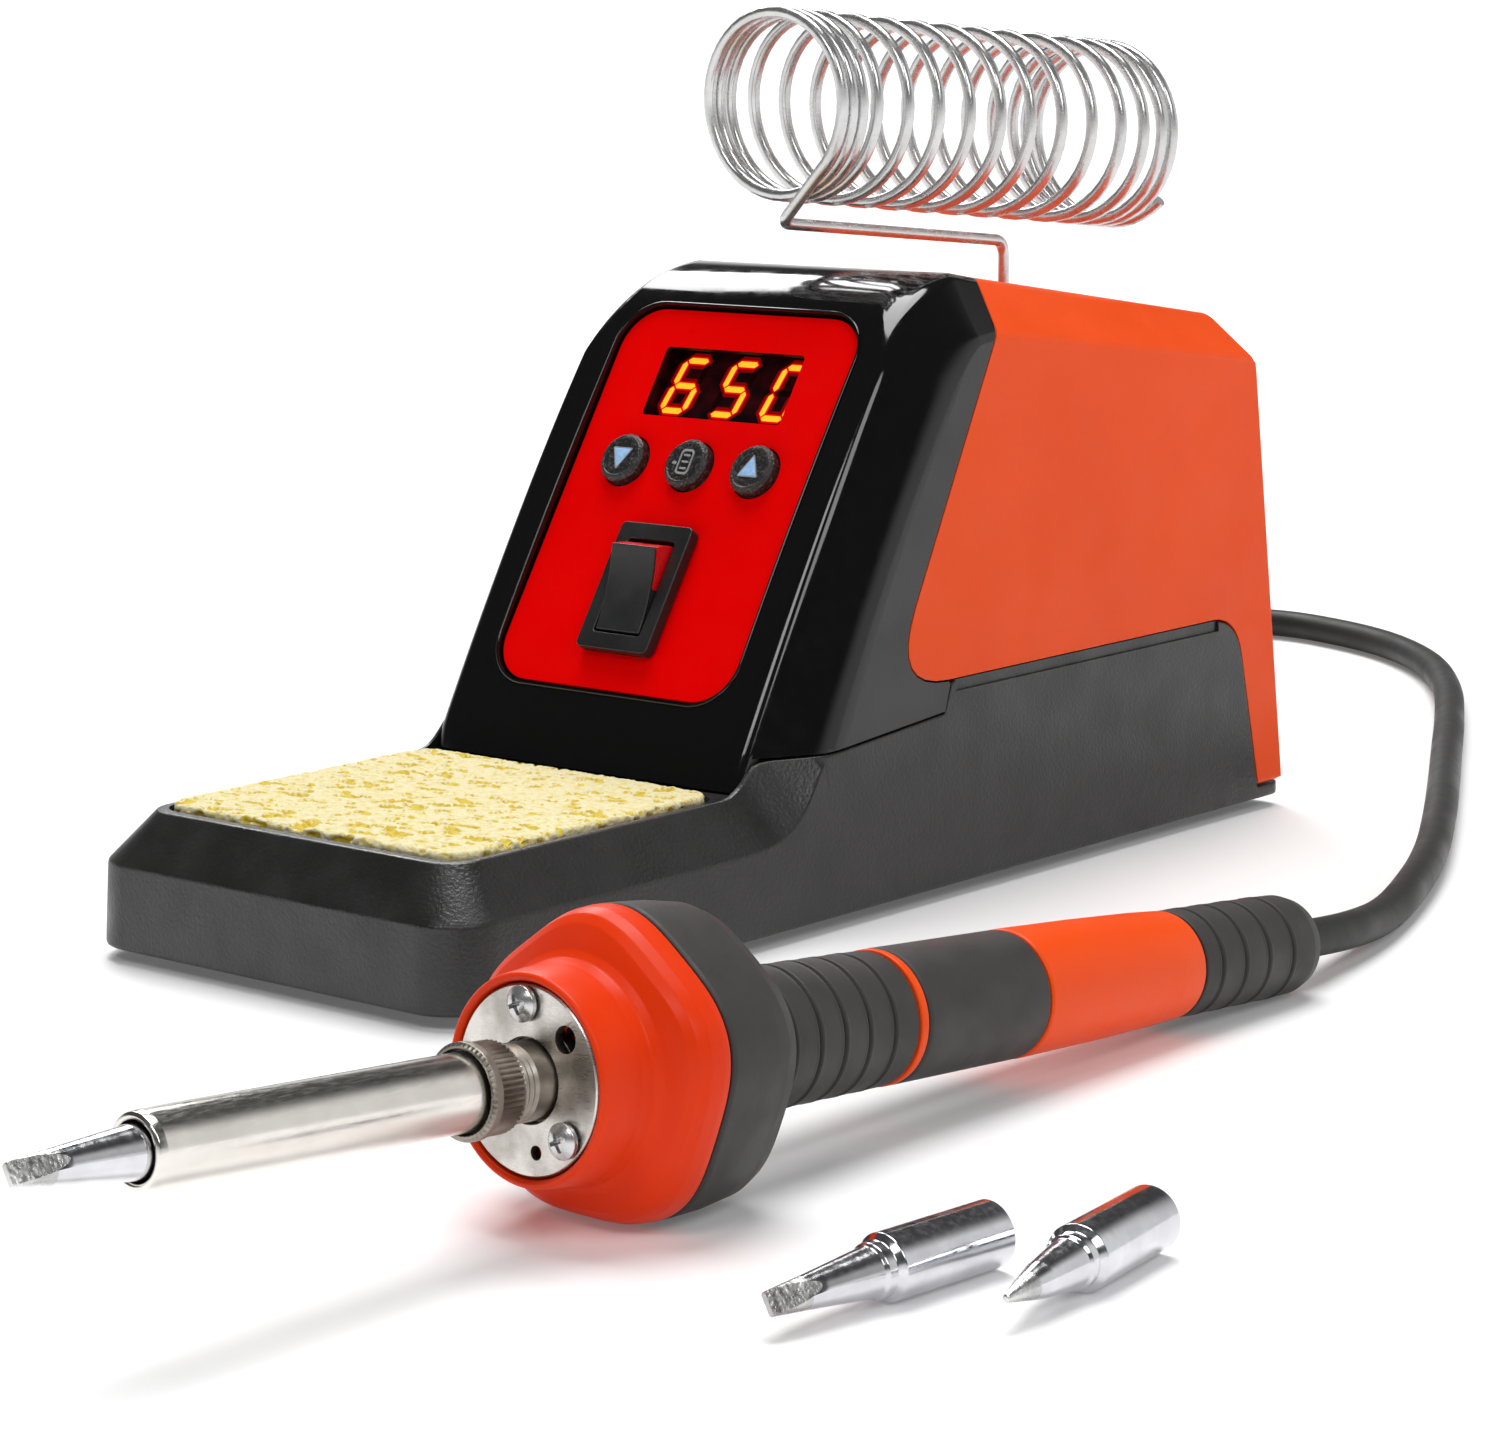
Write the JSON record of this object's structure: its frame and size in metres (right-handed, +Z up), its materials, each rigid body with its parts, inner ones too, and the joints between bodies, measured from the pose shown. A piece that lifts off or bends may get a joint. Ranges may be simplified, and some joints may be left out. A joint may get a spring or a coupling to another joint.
{
  "type": "soldering station",
  "caption": "Soldering station with a sloped control panel, sponge tray and coil rest, its pencil iron on a rubber cord, and spare tips.",
  "frame": {"origin": "centre of the bounding box without the iron's cord, on the surface the station stands on", "axes": "+Z up, -Y the station's front (the sponge tray's side), +X the station's right as seen from behind the tray looking at the panel"},
  "size_m": [0.2498, 0.4661, 0.1328],
  "materials": {
    "black_abs": "fine texture",
    "cover_gloss": "high gloss",
    "orange_abs": "satin",
    "red_label": "satin film",
    "display_window": "gloss",
    "circuit_board": "satin",
    "rubber": "matte",
    "rocker_black": "satin",
    "bright_zinc": "bright",
    "steel": "brushed",
    "dark_steel": "satin",
    "tip_plating": "bright",
    "lamination": "satin",
    "copper": "enamelled",
    "cellulose": "porous",
    "cord_rubber": "satin"
  },
  "bodies": {
    "station": {"base_shell": "black_abs", "bottom_plate": "black_abs", "foot_fl": "rubber", "foot_fr": "rubber", "foot_rl": "rubber", "foot_rr": "rubber", "case_screw_fl": "bright_zinc", "case_screw_fr": "bright_zinc", "case_screw_rl": "bright_zinc", "case_screw_rr": "bright_zinc", "front_cover": "cover_gloss", "rear_housing": "orange_abs", "label_panel": "red_label", "display_module": "display_window", "control_board": "circuit_board", "switch_body": "black_abs", "transformer_core": "lamination", "transformer_winding": "copper", "mains_gland": "rubber", "iron_cord_gland": "rubber", "holder_socket": "bright_zinc", "iron_cord": "cord_rubber"},
    "rocker": {"switch_rocker": "rocker_black"},
    "button_down": {"button_down": "rubber"},
    "button_preset": {"button_preset": "rubber"},
    "button_up": {"button_up": "rubber"},
    "coil_rest": {"holder_coil": "bright_zinc"},
    "sponge": {"sponge": "cellulose"},
    "iron": {"heater": "dark_steel", "thread_collar": "dark_steel", "flange_plate": "steel", "flange_screw_top": "bright_zinc", "flange_screw_side": "bright_zinc", "nose_flange": "orange_abs", "guard": "rubber", "grip_front": "rubber", "grip_mid": "rubber", "handle_core": "orange_abs", "strain_relief": "rubber"},
    "barrel": {"barrel": "steel", "tip": "tip_plating"},
    "nut": {"barrel_nut": "dark_steel"},
    "chisel_tip": {"spare_tip_chisel": "tip_plating"},
    "conical_tip": {"spare_tip_conical": "tip_plating"}
  },
  "joints": [
    {"name": "power_rocker", "type": "hinge", "parent": "station", "child": "rocker", "pos_m": [-0.06585, 0.04202, 0.04665], "axis": [1, 0, 0], "range_deg": [-30, 0]},
    {"name": "button_down_press", "type": "slide", "parent": "station", "child": "button_down", "axis": [0, 0.8412, -0.5407], "range_m": [0, 0.0006], "stiffness_N_per_m": 500},
    {"name": "button_preset_press", "type": "slide", "parent": "station", "child": "button_preset", "axis": [0, 0.8412, -0.5407], "range_m": [0, 0.0006], "stiffness_N_per_m": 500},
    {"name": "button_up_press", "type": "slide", "parent": "station", "child": "button_up", "axis": [0, 0.8412, -0.5407], "range_m": [0, 0.0006], "stiffness_N_per_m": 500},
    {"name": "coil_rest_swivel", "type": "hinge", "parent": "station", "child": "coil_rest", "pos_m": [-0.06585, 0.131, 0.086], "axis": [0, 0, 1], "range_deg": [-90, 90]},
    {"name": "sponge_lift", "type": "slide", "parent": "station", "child": "sponge", "axis": [0, 0, 1], "range_m": [0, 0.02]},
    {"name": "iron_lift", "type": "slide", "parent": "station", "child": "iron", "axis": [0, 0, 1], "range_m": [0, 0.05], "deforming": ["iron_cord"]},
    {"name": "barrel_slide", "type": "slide", "parent": "iron", "child": "barrel", "axis": [-0.0153, -0.9966, 0.0812], "range_m": [0, 0.0017]},
    {"name": "barrel_nut_turn", "type": "hinge", "parent": "barrel", "child": "nut", "pos_m": [0.04151, -0.09449, 0.01862], "axis": [-0.0153, -0.9966, 0.0812], "range_deg": [0, 810]},
    {"name": "chisel_tip_lift", "type": "slide", "parent": "station", "child": "chisel_tip", "axis": [0, 0, 1], "range_m": [0, 0.03]},
    {"name": "conical_tip_lift", "type": "slide", "parent": "station", "child": "conical_tip", "axis": [0, 0, 1], "range_m": [0, 0.03]}
  ],
  "couplings": [
    {"joint": "barrel_nut_turn", "follows": "barrel_slide", "rad_per_m": 8333.3}
  ]
}
